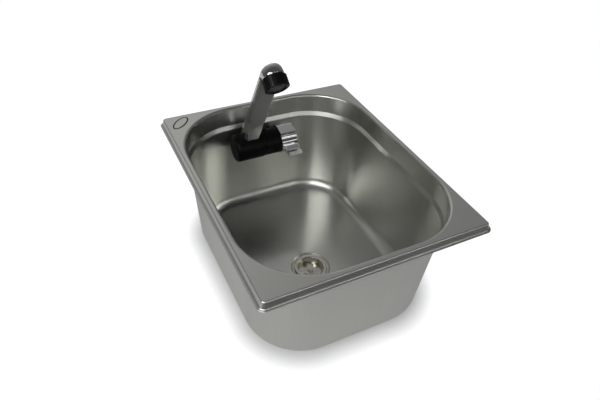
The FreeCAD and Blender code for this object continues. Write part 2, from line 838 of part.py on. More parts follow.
def make_nozzle_ring():
    other = outlet_axis.cross(ALONG_X)
    corners = []
    for i in range(2 * ring_tooth_count):
        angle = math.pi * i / ring_tooth_count
        radius = ring_radius - (ring_tooth_depth if i % 2 else 0.0)
        spot = (ALONG_X * math.cos(angle) + other * math.sin(angle)) * radius
        corners.append(outlet_point(ring_gap) + spot)
    ring = prism(corners, outlet_axis * ring_length)
    ring = ring.cut(outlet_rod(ring_thread_radius, ring_gap, ring_length - ring_face_wall))
    return leaned(ring.cut(outlet_rod(ring_lip_radius, ring_gap, ring_length)))


def make_spray_disc():
    disc = outlet_rod(spray_radius, spray_top, spray_thickness)
    other = outlet_axis.cross(ALONG_X)
    holes = [outlet_rod(spray_hole_radius, spray_top, spray_thickness)]
    for row in range(1, spray_rows + 1):
        for i in range(6 * row):
            angle = 2 * math.pi * i / (6 * row)
            spot = (ALONG_X * math.cos(angle) + other * math.sin(angle)) * row * spray_row_pitch
            holes.append(rod(spray_hole_radius, outlet_point(spray_top) + spot, outlet_axis, spray_thickness))
    return leaned(disc.cut(holes))


def make_nozzle_gasket():
    ring = outlet_rod(spray_radius, gasket_top, nozzle_gasket_thickness)
    return leaned(ring.cut(outlet_rod(nozzle_gasket_bore, gasket_top, nozzle_gasket_thickness)))


def make_spout_seal():
    height = sleeve_radius - spout_spigot_depth - seal_section / 2
    half = seal_section / 2
    ring = Part.makeTorus(spout_spigot_radius - half, half, spigot_point(height), UP)
    return leaned(ring)


# Valve, lever and pump switch, on the right end of the tap axis

valve_left = body_right - bonnet_length - valve_length
drum_right = body_right - bonnet_length - part_gap
carrier_right = body_right + carrier_thickness
switch_right = carrier_right + switch_width
switch_screw_z = tap_z - switch_drop - switch_height / 2
switch_middle_x = carrier_right + switch_width / 2
lever_left = body_right + part_gap
lever_floor = lever_right - lever_end_wall


def switch_screw_places():
    return (tap_y - switch_hole_pitch / 2, tap_y + switch_hole_pitch / 2)


def make_valve_spindle():
    drum = axial(valve_radius - running_gap, valve_left, drum_right)
    stem = axial(stem_radius, drum_right, stem_end)
    groove = seal_groove(drum_right - valve_seal_inset, valve_radius - running_gap)
    spindle = joined([drum, stem]).cut(groove)
    spindle = spindle.cut(axial(valve_port_radius, valve_left, valve_left + 2 * valve_port_radius))
    port = rod(spindle_port_radius, on_axis(valve_left + valve_port_radius), ALONG_Y, valve_radius)
    port.rotate(on_axis(0), ALONG_X, lever_swing)
    spindle = spindle.cut(port)
    thread_left = stem_end - lever_screw_length
    return spindle.cut(axial(lever_screw_radius + seat_gap, thread_left, stem_end))


def make_valve_seal():
    return seal_ring(drum_right - valve_seal_inset, valve_radius - running_gap)


def make_valve_bonnet():
    bonnet_left = body_right - bonnet_length
    return axial_pipe(valve_radius - seat_gap, stem_radius + running_gap, bonnet_left, body_right)


def make_switch_carrier():
    plate = axial_pipe(carrier_radius, stem_radius + part_gap, body_right, carrier_right)
    for y in switch_screw_places():
        start = Vector(body_right, y, switch_screw_z)
        plate = plate.cut(rod(switch_screw_radius + seat_gap, start, ALONG_X, carrier_thickness))
    return plate


def make_microswitch():
    low = Vector(carrier_right, tap_y - switch_length / 2, tap_z - switch_drop - switch_height)
    case = block(low, low + Vector(switch_width, switch_length, switch_height))
    for y in switch_screw_places():
        start = Vector(carrier_right, y, switch_screw_z)
        case = case.cut(rod(switch_screw_radius + seat_gap, start, ALONG_X, switch_width))
    depth = plunger_inside + plunger_travel + part_gap
    well = Vector(switch_middle_x, tap_y, tap_z - switch_drop - depth)
    return case.cut(rod(plunger_radius + running_gap, well, UP, depth))


def make_switch_plunger():
    low = Vector(switch_middle_x, tap_y, tap_z - switch_drop - plunger_inside)
    top = tap_z - cam_low - 2 * running_gap
    return rod(plunger_radius, low, UP, top - low.z)


def make_switch_screws():
    screws = []
    for y in switch_screw_places():
        start = Vector(body_right - switch_screw_grip, y, switch_screw_z)
        length = switch_right - start.x
        shank = rod(switch_screw_radius, start, ALONG_X, length)
        head = rod(switch_screw_head_radius, start + ALONG_X * length, ALONG_X, switch_screw_head_height)
        screws.append(joined([shank, head]))
    return Part.makeCompound(screws)


def make_switch_cam():
    """A collar whose radius grows evenly, backwards from under the axis, over the lever's swing."""
    left = switch_middle_x - cam_width / 2
    corners = []
    for degrees in range(0, 360, cam_step):
        share = min(degrees / lever_swing, 1.0) if degrees <= lever_swing + cam_dwell else 0.0
        radius = cam_low + plunger_travel * share
        angle = math.radians(degrees)
        corners.append(forward_up(-radius * math.sin(angle), -radius * math.cos(angle), left))
    collar = prism(corners, ALONG_X * cam_width)
    return collar.cut(axial(stem_radius + seat_gap, left, left + cam_width))


def make_lever():
    shell = axial(lever_radius, lever_left, lever_right)
    slope = math.radians(lever_tab_angle)
    reach = Vector(0, -math.cos(slope), -math.sin(slope))
    rise = Vector(0, -math.sin(slope), math.cos(slope))
    root = on_axis(lever_tab_left)
    tip = root + reach * lever_reach
    tab_top = root + rise * lever_tab_thickness / 2
    corners = [
        tab_top,
        tip + rise * lever_tab_thickness / 2,
        tip - rise * lever_tab_thickness / 2,
        root + reach * lever_web_reach - rise * lever_web_drop,
        root - rise * lever_web_drop,
    ]
    tab = prism(corners, ALONG_X * (lever_right - lever_tab_left))
    lever = joined([shell, tab])
    lever = lever.cut(axial(lever_cavity_radius, lever_left, lever_floor))
    hub = axial(lever_hub_radius, lever_floor - lever_hub_length, lever_floor)
    lever = joined([lever, hub])
    lever = lever.cut(axial(stem_radius + seat_gap, lever_floor - lever_hub_length, stem_end))
    lever = lever.cut(axial(lever_screw_radius + seat_gap, stem_end, lever_right))
    head_pocket = lever_right - lever_cap_thickness - lever_screw_head_height
    lever = lever.cut(axial(lever_screw_head_radius + part_gap, head_pocket, lever_right))
    hub_grooves = (
        (lever_wide_groove_radius, lever_wide_groove_angle),
        (lever_mid_groove_radius, lever_mid_groove_angle),
    )
    cutters = []
    for radius, degrees in hub_grooves:
        angle = math.radians(degrees)
        distance = lever_radius - lever_groove_depth + radius
        centre = forward_up(distance * math.cos(angle), distance * math.sin(angle), lever_left)
        cutters.append(rod(radius, centre, ALONG_X, lever_right - lever_left))
    for i in range(tab_groove_count):
        along = lever_reach - tab_tip_land - (i + 0.5) * tab_groove_pitch
        lift = lever_tab_thickness / 2 - tab_groove_depth + tab_groove_radius
        centre = root + reach * along + rise * lift
        cutters.append(rod(tab_groove_radius, centre, ALONG_X, lever_right - lever_tab_left))
    return lever.cut(cutters)


def make_lever_screw():
    head_left = lever_right - lever_cap_thickness - lever_screw_head_height
    head = axial(lever_screw_head_radius, head_left, head_left + lever_screw_head_height - part_gap)
    shank = axial(lever_screw_radius, stem_end - lever_screw_length + lever_screw_end_gap, head_left)
    return joined([head, shank])


def make_lever_cap():
    radius = lever_screw_head_radius + part_gap - seat_gap
    return axial(radius, lever_right - lever_cap_thickness, lever_right)


# Simple rings of the stack, then every piece under its node's name

def make_drain_top_gasket():
    outer = drain_flange_radius - drain_gasket_inset
    return pipe(outer, drain_hole_radius, on_drain(dish_top), UP, drain_gasket_thickness)


def make_drain_bottom_gasket():
    return pipe(drain_body_radius, drain_hole_radius, on_drain(drain_body_top), UP, under_gasket_thickness)


pieces = {
    "basin": make_basin,
    "drain_flange": make_drain_flange,
    "drain_strainer": make_strainer,
    "drain_screw": make_drain_screw,
    "drain_top_gasket": make_drain_top_gasket,
    "drain_bottom_gasket": make_drain_bottom_gasket,
    "drain_body": make_drain_body,
    "drain_insert": make_drain_insert,
    "tap_body": make_tap_body,
    "tap_wall_gasket": make_wall_gasket,
    "tap_threaded_tail": make_threaded_tail,
    "tap_back_washer": make_back_washer,
    "tap_lock_nut": make_lock_nut,
    "hose_nozzle": make_hose_nozzle,
    "pivot_tube": make_pivot_tube,
    "pivot_seals": make_pivot_seals,
    "retaining_washer": make_retaining_washer,
    "pivot_screw": make_pivot_screw,
    "spout_sleeve": make_spout_sleeve,
    "sleeve_end_cap": make_sleeve_end_cap,
    "spout": make_spout,
    "spout_seal": make_spout_seal,
    "spout_grub_screw": make_grub_screw,
    "nozzle_ring": make_nozzle_ring,
    "spray_disc": make_spray_disc,
    "nozzle_gasket": make_nozzle_gasket,
    "valve_spindle": make_valve_spindle,
    "valve_seal": make_valve_seal,
    "valve_bonnet": make_valve_bonnet,
    "switch_carrier": make_switch_carrier,
    "microswitch": make_microswitch,
    "switch_plunger": make_switch_plunger,
    "switch_screws": make_switch_screws,
    "switch_cam": make_switch_cam,
    "lever": make_lever,
    "lever_screw": make_lever_screw,
    "lever_cap": make_lever_cap,
}

os.makedirs("parts", exist_ok=True)
for name, make in pieces.items():
    shape = make()
    shape.exportStep(f"parts/{name}.step")
    state = "valid" if shape.isValid() else "NOT VALID"
    print(name, state, len(shape.Solids), "solids", round(shape.Volume, 1), "mm3")
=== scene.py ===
import json
import math

import bmesh
import bpy
from mathutils import Matrix, Vector


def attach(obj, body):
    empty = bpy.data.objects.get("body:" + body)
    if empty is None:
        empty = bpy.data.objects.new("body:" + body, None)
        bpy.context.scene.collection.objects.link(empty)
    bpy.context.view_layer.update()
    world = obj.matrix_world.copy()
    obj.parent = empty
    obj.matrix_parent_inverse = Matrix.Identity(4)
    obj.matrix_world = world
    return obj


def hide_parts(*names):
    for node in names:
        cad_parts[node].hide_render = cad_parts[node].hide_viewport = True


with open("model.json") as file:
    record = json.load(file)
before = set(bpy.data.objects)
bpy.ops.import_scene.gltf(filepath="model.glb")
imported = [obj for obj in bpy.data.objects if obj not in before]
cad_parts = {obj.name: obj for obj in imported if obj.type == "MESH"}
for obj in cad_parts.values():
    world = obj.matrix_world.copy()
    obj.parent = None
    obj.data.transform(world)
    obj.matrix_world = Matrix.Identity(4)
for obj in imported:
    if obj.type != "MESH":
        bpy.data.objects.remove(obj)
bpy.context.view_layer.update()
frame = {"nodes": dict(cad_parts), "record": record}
scene = bpy.context.scene
scene.view_settings.view_transform = "Standard"

# Bowl: one blank of stainless sheet, deep drawn, with a stacking shoulder and a rim turned down all round.
# It is polished in circles, so its highlights run up the walls and towards the waste.
# The sheet is drawn as its wet side, carried round the corners of the core, and then given its gauge.
gauge = 0.0008
rim_top = 0.009
base_top = -0.1402
core = (0.044, 0.07275)
rim_core = (0.1245, 0.1545)
bowl_line = [
    (0.0818, rim_top), (0.078, rim_top), (0.0772, -0.016), (0.0749, -0.022), (0.0659, base_top),
    (0, base_top)]
bowl_bends = [0.003, 0.002, 0.002, 0.015]
rim_line = [(0.008, gauge), (0.006, gauge), (0.0037, rim_top), (0.0021, rim_top)]
rim_bends = [0.0016, 0.0016]
drain = Vector((0.0, -0.021, 0.0))
dish_floor = base_top - 0.0014
dish_line = [(0.0262, base_top), (0.025, base_top), (0.0238, dish_floor), (0.0176, dish_floor)]
dish_bends = [0.001, 0.001]
bend_segments = 6
corner_steps = 20
turn_steps = 64
full_turn = 2 * math.pi
weld = 1e-6
level_slack = 1e-5
flat_weight = 60
smudge_scale = 14
smudge_low, smudge_high = 0.3, 0.7
grain_height = 0.0002
tint_from, tint_to, tint_result = 6, 7, 2
polish_pull = 0.6
polish_turn = 0.25


def verts_of(geom):
    return [g for g in geom if isinstance(g, bmesh.types.BMVert)]


def edges_of(geom):
    return [g for g in geom if isinstance(g, bmesh.types.BMEdge)]


def once_each(items):
    """The items without repeats, in the order they come."""
    return list(dict.fromkeys(items))


def rounded_corner(bm, vert, bend, share=1.0):
    """Rounds one corner of a run of edges, using at most a share of its shorter edge."""
    spokes = [e.other_vert(vert).co - vert.co for e in vert.link_edges]
    offset = bend / math.tan(spokes[0].angle(spokes[1]) / 2)
    room = share * min(spoke.length for spoke in spokes)
    bevelled = bmesh.ops.bevel(
        bm, geom=[vert], offset=min(offset, room), offset_type="OFFSET", segments=bend_segments,
        profile=0.5, affect="VERTICES", material=-1)
    return bevelled["verts"]


def bent_line(bm, points, bends):
    """A run of straight edges whose inner corners are rounded."""
    verts = [bm.verts.new(p) for p in points]
    for pair in zip(verts, verts[1:]):
        bm.edges.new(pair)
    made = verts[:]
    for vert, bend in zip(verts[1:-1], bends):
        if bend:
            made += rounded_corner(bm, vert, bend)
    made = once_each(v for v in made if v.is_valid)
    return made, once_each(e for v in made for e in v.link_edges)


def carried_round(bm, half, points, bends):
    """A sheet line carried round a rectangle, with a quarter turn at each corner."""
    verts, edges = bent_line(bm, [(half[0] + x, -half[1], z) for x, z in points], bends)
    runs = (
        ((0, 2 * half[1], 0), (half[0], half[1], 0)),
        ((-2 * half[0], 0, 0), (-half[0], half[1], 0)),
        ((0, -2 * half[1], 0), (-half[0], -half[1], 0)),
        ((2 * half[0], 0, 0), (half[0], -half[1], 0)),
    )
    for run, centre in runs:
        straight = bmesh.ops.extrude_edge_only(bm, edges=edges)["geom"]
        verts = verts_of(straight)
        edges = edges_of(straight)
        bmesh.ops.translate(bm, vec=run, verts=verts)
        turned = bmesh.ops.spin(
            bm, geom=verts + edges, cent=centre, axis=(0, 0, 1), angle=full_turn / 4, steps=corner_steps,
            use_merge=False)["geom_last"]
        verts = verts_of(turned)
        edges = edges_of(turned)
    bmesh.ops.remove_doubles(bm, verts=bm.verts[:], dist=weld)


def filled_level(bm, height):
    """Closes the flat between the open loops that lie at one height."""
    open_edges = [e for e in bm.edges if len(e.link_faces) == 1]
    loops = [e for e in open_edges if all(abs(v.co.z - height) < weld for v in e.verts)]
    bmesh.ops.triangle_fill(bm, use_beauty=True, edges=loops)


def even_normals(piece):
    """Shades flat faces flat and puts the bend of the light into the rounded edges."""
    weighted = piece.modifiers.new("even_normals", "WEIGHTED_NORMAL")
    weighted.keep_sharp = True
    weighted.weight = flat_weight


def finished(bm, name, material, body, nodes=(), smooth_angle=40, even=True):
    """The mesh as a piece of the object, shaded smooth up to an angle, standing for its nodes."""
    mesh = bpy.data.meshes.new(name)
    bm.to_mesh(mesh)
    bm.free()
    mesh.shade_smooth()
    mesh.set_sharp_from_angle(angle=math.radians(smooth_angle))
    mesh.materials.append(material)
    piece = bpy.data.objects.new(name, mesh)
    scene.collection.objects.link(piece)
    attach(piece, body)
    if nodes:
        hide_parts(*nodes)
    if even:
        even_normals(piece)
    return piece


def surface_marks():
    """Two masks that change over a surface: its fine grain, and broad smudges from handling."""
    group = bpy.data.node_groups.new("surface_marks", "ShaderNodeTree")
    group.interface.new_socket(name="Vector", in_out="INPUT", socket_type="NodeSocketVector")
    group.interface.new_socket(name="Grain Scale", in_out="INPUT", socket_type="NodeSocketFloat")
    group.interface.new_socket(name="Smudge Scale", in_out="INPUT", socket_type="NodeSocketFloat")
    group.interface.new_socket(name="Grain", in_out="OUTPUT", socket_type="NodeSocketFloat")
    group.interface.new_socket(name="Smudge", in_out="OUTPUT", socket_type="NodeSocketFloat")
    given = group.nodes.new("NodeGroupInput")
    result = group.nodes.new("NodeGroupOutput")
    for mask, detail in (("Grain", 3), ("Smudge", 2)):
        noise = group.nodes.new("ShaderNodeTexNoise")
        noise.inputs["Detail"].default_value = detail
        group.links.new(given.outputs["Vector"], noise.inputs["Vector"])
        group.links.new(given.outputs[mask + " Scale"], noise.inputs["Scale"])
        group.links.new(noise.outputs["Fac"], result.inputs[mask])
    return group


marks = surface_marks()


def graded(nodes, start, end, low, high, smooth=False):
    """A node that carries a value from one range over to another."""
    node = nodes.new("ShaderNodeMapRange")
    if smooth:
        node.interpolation_type = "SMOOTHSTEP"
    for socket, value in (("From Min", start), ("From Max", end), ("To Min", low), ("To Max", high)):
        node.inputs[socket].default_value = value
    return node


def finish(name, colour, other_colour, *, metallic=0, roughness, spread, grain, stretch=(1, 1, 1), relief):
    """A material whose colour and relief follow the grain and whose gloss follows the smudges."""
    material = bpy.data.materials.new(name)
    material.use_nodes = True
    nodes = material.node_tree.nodes
    links = material.node_tree.links
    bsdf = nodes["Principled BSDF"]
    bsdf.inputs["Metallic"].default_value = metallic
    place = nodes.new("ShaderNodeTexCoord")
    drawn_out = nodes.new("ShaderNodeMapping")
    drawn_out.inputs["Scale"].default_value = stretch
    masks = nodes.new("ShaderNodeGroup")
    masks.node_tree = marks
    masks.inputs["Grain Scale"].default_value = grain
    masks.inputs["Smudge Scale"].default_value = smudge_scale
    tint = nodes.new("ShaderNodeMix")
    tint.data_type = "RGBA"
    tint.inputs[tint_from].default_value = (*colour, 1)
    tint.inputs[tint_to].default_value = (*other_colour, 1)
    gloss = graded(nodes, smudge_low, smudge_high, roughness - spread, roughness + spread)
    bump = nodes.new("ShaderNodeBump")
    bump.inputs["Strength"].default_value = relief
    bump.inputs["Distance"].default_value = grain_height
    links.new(place.outputs["Object"], drawn_out.inputs["Vector"])
    links.new(drawn_out.outputs["Vector"], masks.inputs["Vector"])
    links.new(masks.outputs["Grain"], tint.inputs["Factor"])
    links.new(masks.outputs["Smudge"], gloss.inputs["Value"])
    links.new(masks.outputs["Grain"], bump.inputs["Height"])
    links.new(tint.outputs[tint_result], bsdf.inputs["Base Color"])
    links.new(gloss.outputs["Result"], bsdf.inputs["Roughness"])
    links.new(bump.outputs["Normal"], bsdf.inputs["Normal"])
    return material


steel = finish(
    "drawn_steel", (0.6, 0.602, 0.57), (0.64, 0.642, 0.61),
    metallic=1, roughness=0.3, spread=0.012, grain=260, stretch=(1, 1, 0.05), relief=0.01)
steel_bsdf = steel.node_tree.nodes["Principled BSDF"]
steel_bsdf.inputs["Anisotropic"].default_value = polish_pull
steel_bsdf.inputs["Anisotropic Rotation"].default_value = polish_turn

bm = bmesh.new()
carried_round(bm, core, bowl_line, bowl_bends)
carried_round(bm, rim_core, rim_line, rim_bends)
filled_level(bm, rim_top)
verts, edges = bent_line(bm, [drain + Vector((x, 0, z)) for x, z in dish_line], dish_bends)
bmesh.ops.spin(
    bm, geom=verts + edges, cent=drain, axis=(0, 0, 1), angle=full_turn, steps=turn_steps, use_merge=True)
bmesh.ops.remove_doubles(bm, verts=bm.verts[:], dist=weld)
filled_level(bm, base_top)
bmesh.ops.recalc_face_normals(bm, faces=bm.faces[:])
top_faces = [f for f in bm.faces if f.calc_center_median().z > rim_top - level_slack]
flange_face = max(top_faces, key=lambda f: f.calc_area())
if flange_face.normal.z < 0:
    bmesh.ops.reverse_faces(bm, faces=bm.faces[:])
bowl = finished(bm, "steel_bowl", steel, "sink", ["basin"])
sheet = bowl.modifiers.new("sheet_gauge", "SOLIDIFY")
sheet.thickness = gauge
sheet.offset = -1
sheet.use_even_offset = True

# Oval mark: a bare oval at the back left corner of the flange, with a narrow dark line round it where its
# groove lies.
# It is a thin plate of the same steel, a quarter of a millimetre proud of the sheet.
mark_place = Matrix.Translation((-0.1105, 0.1405, rim_top)) @ Matrix.Rotation(math.radians(45), 4, "Z")
mark_half = (0.015, 0.007)
mark_line = 0.0018
mark_height = 0.00025
mark_steps = 72
dark_oval_line = finish(
    "dark_oval_line", (0.03, 0.035, 0.03), (0.06, 0.065, 0.06),
    metallic=1, roughness=0.45, spread=0.05, grain=900, relief=0.05)


def softened(bm, edges, width, segments=3, clamp=False):
    """Rounds a set of edges."""
    bmesh.ops.bevel(
        bm, geom=edges, offset=width, offset_type="OFFSET", segments=segments, profile=0.5, affect="EDGES",
        clamp_overlap=clamp, material=-1)


for name, inset, height, material in (
        ("oval_mark_line", 0.0, mark_height / 3, dark_oval_line),
        ("oval_mark_plate", mark_line, mark_height, steel)):
    bm = bmesh.new()
    oval = mark_place @ Matrix.Diagonal((mark_half[0] - inset, mark_half[1] - inset, 1, 1))
    bmesh.ops.create_circle(bm, cap_ends=True, segments=mark_steps, radius=1, matrix=oval)
    raised = bmesh.ops.extrude_face_region(bm, geom=bm.faces[:])["geom"]
    bmesh.ops.translate(bm, vec=(0, 0, height), verts=verts_of(raised))
    softened(bm, edges_of(raised), height / 2, segments=2)
    bmesh.ops.recalc_face_normals(bm, faces=bm.faces[:])
    finished(bm, name, material, "sink")

# Waste collar: a cup turned from nickelled steel, with a flat collar that lies in the dish of the base.
# Its mouth is rolled over, and it is pulled down by the screw through the strainer.
collar_line = [
    (0.0173, -0.1409), (0.021, -0.1409), (0.021, -0.1397), (0.0161, -0.1397), (0.0161, -0.1505),
    (0.0145, -0.1505), (0.0145, -0.1517), (0.0173, -0.1517), (0.0173, -0.1409)]
collar_bends = [0.0002, 0.0006, 0.0016, 0.0002, 0.0002, 0.0002, 0.0002]
lathe_weld = 2e-6
sliver = 1e-7
drain_metal = finish(
    "nickelled_steel", (0.6, 0.575, 0.5), (0.7, 0.675, 0.6),
    metallic=1, roughness=0.2, spread=0.04, grain=500, relief=0.05)


def lathe(bm, centre, axis, out, profile, bends, steps=turn_steps):
    """A full turn of a profile of (radius, place along the axis) corners."""
    axis = Vector(axis).normalized()
    out = Vector(out).normalized()
    points = [Vector(centre) + out * radius + axis * along for radius, along in profile]
    verts, edges = bent_line(bm, points, bends)
    bmesh.ops.spin(
        bm, geom=verts + edges, cent=centre, axis=axis, angle=full_turn, steps=steps, use_merge=True)
    bmesh.ops.remove_doubles(bm, verts=bm.verts[:], dist=lathe_weld)
    bmesh.ops.dissolve_degenerate(bm, dist=sliver, edges=bm.edges[:])
    bmesh.ops.recalc_face_normals(bm, faces=bm.faces[:])


bm = bmesh.new()
lathe(bm, drain, (0, 0, 1), (1, 0, 0), collar_line, collar_bends)
finished(bm, "waste_collar", drain_metal, "sink", ["drain_flange"])

# Strainer: a nickelled plate with five round holes, pressed so that their edges are soft.
# It lies on the ledge of the cup, and one slotted screw in its middle draws the waste together.
strainer_bottom = -0.1505
strainer_thickness = 0.0014
strainer_radius = 0.01605
strainer_steps = 96
hole_count = 5
hole_radius = 0.0044
hole_ring = 0.0104
hole_steps = 36
first_hole = math.radians(64)
lip_round = 0.0005
lip_angle = 1
bm = bmesh.new()
plate_place = Matrix.Translation(drain + Vector((0, 0, strainer_bottom)))
bmesh.ops.create_circle(bm, segments=strainer_steps, radius=strainer_radius, matrix=plate_place)
for i in range(hole_count):
    hole_turn = Matrix.Rotation(first_hole + i * full_turn / hole_count, 4, "Z")
    hole_place = plate_place @ hole_turn @ Matrix.Translation((hole_ring, 0, 0))
    bmesh.ops.create_circle(bm, segments=hole_steps, radius=hole_radius, matrix=hole_place)
bmesh.ops.triangle_fill(bm, use_beauty=True, edges=bm.edges[:])
raised = bmesh.ops.extrude_face_region(bm, geom=bm.faces[:])["geom"]
bmesh.ops.translate(bm, vec=(0, 0, strainer_thickness), verts=verts_of(raised))
bmesh.ops.recalc_face_normals(bm, faces=bm.faces[:])
lips = [e for e in bm.edges if len(e.link_faces) == 2 and e.calc_face_angle() > lip_angle]
softened(bm, lips, lip_round)
finished(bm, "strainer_plate", drain_metal, "sink", ["drain_strainer"])

# Tap body: the fixed middle of the tap, moulded in satin black plastic, with a foot to the back wall.
# A small lug on its top stops the spout.
tap = Vector((0.0, 0.124908, -0.037))
body_line = [(0.00905, -0.009), (0.0176, -0.009), (0.0176, 0.015), (0.00905, 0.015), (0.00905, -0.009)]
body_bends = [0.0006, 0.0006, 0]
foot_line = [(0.0, 0.009), (0.0114, 0.009), (0.0114, 0.0192), (0.0, 0.0192)]
foot_bends = [0, 0.0004]
foot_middle = 0.003
lug_size = (0.008, 0.0035, 0.0044)
lug_middle = -0.0047
lug_height = 0.0176
lug_lean = math.radians(-15)
lug_round = 0.0006
black_shades = ((0.0025, 0.0025, 0.0027), (0.004, 0.004, 0.0042))
satin_shine = 0.07
black_plastic = finish("black_plastic", *black_shades, roughness=0.34, spread=0.04, grain=2600, relief=0.05)
black_plastic.node_tree.nodes["Principled BSDF"].inputs["Specular IOR Level"].default_value = satin_shine

bm = bmesh.new()
lathe(bm, tap, (1, 0, 0), (0, 0, 1), body_line, body_bends)
lathe(bm, tap + Vector((foot_middle, 0, 0)), (0, 1, 0), (0, 0, 1), foot_line, foot_bends)
lug_place = Matrix.Translation(tap + Vector((lug_middle, 0, 0))) @ Matrix.Rotation(lug_lean, 4, "X")
lug_place = lug_place @ Matrix.Translation((0, 0, lug_height)) @ Matrix.Diagonal((*lug_size, 1))
lug = bmesh.ops.create_cube(bm, size=1, matrix=lug_place)
softened(bm, once_each(e for v in lug["verts"] for e in v.link_edges), lug_round)
finished(bm, "tap_middle", black_plastic, "sink", ["tap_body"])

# Sleeve: the black barrel that turns with the spout, moulded with a bore for the pivot tube.
# A pocket in its left end takes the tube's washer, and a rounded cap is pressed in over that.
sleeve_line = [
    (0.01255, -0.042), (0.0183, -0.042), (0.0183, -0.0093), (0.00805, -0.0093), (0.00805, -0.0397),
    (0.01255, -0.0397), (0.01255, -0.042)]
sleeve_bends = [0.0003, 0.0008, 0, 0, 0]
cap_line = [
    (0.0, -0.047), (0.0183, -0.047), (0.0183, -0.042), (0.0043, -0.042), (0.0043, -0.044), (0.0, -0.044)]
cap_bends = [0.0038, 0.0003, 0, 0]
bm = bmesh.new()
lathe(bm, tap, (1, 0, 0), (0, 0, 1), sleeve_line, sleeve_bends)
finished(bm, "sleeve_barrel", black_plastic, "spout_arm", ["spout_sleeve"])
bm = bmesh.new()
lathe(bm, tap, (1, 0, 0), (0, 0, 1), cap_line, cap_bends)
finished(bm, "sleeve_cap", black_plastic, "spout_arm", ["sleeve_end_cap"])

# Spout: a hollow zinc casting, polished and chromed, with flat faces that meet in soft ridges.
# It flares where it straddles the sleeve, pinches in above it and turns forward into a domed head.
# Its cross-sections have eight corners each, and the creased ridges fade out in the head.
upright = Matrix.Translation(tap) @ Matrix.Rotation(math.radians(27.6), 4, "X")
spout_x = -0.0233
back_chamfer = 0.004
arm_sections = (
    # height, front left and right, front, shoulder left and right, back, reach left and right
    (0.0123, -0.0084, 0.0054, -0.0045, 0.0050, 0.0020, 0.017, 0.0124, 0.0124),
    (0.0420, -0.0064, 0.0128, 0.0058, 0.0126, 0.0110, 0.017, 0.0124, 0.0157),
    (0.0730, -0.0108, 0.0146, 0.0068, 0.0086, 0.0082, 0.017, 0.0124, 0.0157),
    (0.1330, -0.0096, 0.0114, 0.0070, 0.0092, 0.0084, 0.0165, 0.0116, 0.0128),
)
held_places = (0.0, 0.5)
ridge_crease = 0.6
ridge_end = 0.6
elbow = Vector((spout_x, 0.0073, 0.135))
head_turns = (
    # angle, reach, half width, roundness
    (18, 0.0098, 0.0114, 0.2),
    (34, 0.0111, 0.0114, 0.45),
    (50, 0.0141, 0.0116, 0.7),
    (66, 0.0214, 0.0119, 0.9),
    (80, 0.0298, 0.0124, 1.0),
)
outlet = Vector((spout_x, 0.0021, 0.150))
outlet_tilt = math.radians(10.4)
outlet_axis = Vector((0, -math.cos(outlet_tilt), -math.sin(outlet_tilt)))
outlet_up = Vector((0, -math.sin(outlet_tilt), math.cos(outlet_tilt)))
collar_rings = ((-0.0035, 0.0129), (-0.0008, 0.0129), (0.0, 0.0125), (0.0, 0.0116))
corner_count = 8
octagon_loss = 0.9024
casting_levels = 4
nipple_line = [(0.008, -0.001), (0.008, 0.0082), (0.0115, 0.0082), (0.0115, -0.001), (0.008, -0.001)]
nipple_bends = [0.0002, 0.0003, 0]
chrome = finish(
    "bright_chrome", (0.7, 0.705, 0.71), (0.74, 0.745, 0.75),
    metallic=1, roughness=0.06, spread=0.02, grain=300, relief=0.02)


def arm_outline(front_left, front_right, front, shoulder_left, shoulder_right, back, left, right):
    """Corners of a flat-faced section, as places across and behind the front."""
    flank = back - back_chamfer
    return [
        (front_left, front), (front_right, front),
        (right, shoulder_right), (right, flank), (right - back_chamfer, back),
        (back_chamfer - left, back), (-left, flank), (-left, shoulder_left)]


def round_outline(half, inner, outer):
    """Corners of an octagon outside a round section, which the smooth surface then passes through."""
    middle = (inner + outer) / 2
    depth = (outer - inner) / 2 / octagon_loss
    angles = [full_turn * (i - 0.5) / corner_count for i in range(corner_count)]
    return [(math.sin(a) * half / octagon_loss, middle - math.cos(a) * depth) for a in angles]


rows = []
for lower, upper in zip(arm_sections, arm_sections[1:]):
    for place in held_places:
        height, *sizes = [a + (b - a) * place for a, b in zip(lower, upper)]
        rows.append(([Vector((spout_x + u, w, height)) for u, w in arm_outline(*sizes)], ridge_crease))
neck_height, *neck_sizes = arm_sections[-1]
neck = arm_outline(*neck_sizes)
neck_front, neck_back = neck_sizes[2], neck_sizes[5]
rows.append(([Vector((spout_x + u, w, neck_height)) for u, w in neck], ridge_crease))
for degrees, reach, half, roundness in head_turns:
    outward = Vector((0, math.cos(math.radians(degrees)), math.sin(math.radians(degrees))))
    corners = []
    for (flat_u, flat_w), (round_u, round_w) in zip(neck, round_outline(half, 0.0, reach)):
        flat_w = (flat_w - neck_front) / (neck_back - neck_front) * reach
        across = flat_u + (round_u - flat_u) * roundness
        out = flat_w + (round_w - flat_w) * roundness
        corners.append(elbow + Vector((across, 0, 0)) + outward * out)
    rows.append((corners, ridge_crease * max(0, ridge_end - roundness)))
for along, radius in collar_rings:
    middle = outlet + outlet_axis * along
    outline = round_outline(radius, -radius, radius)
    rows.append(([middle + Vector((u, 0, 0)) + outlet_up * w for u, w in outline], 0))

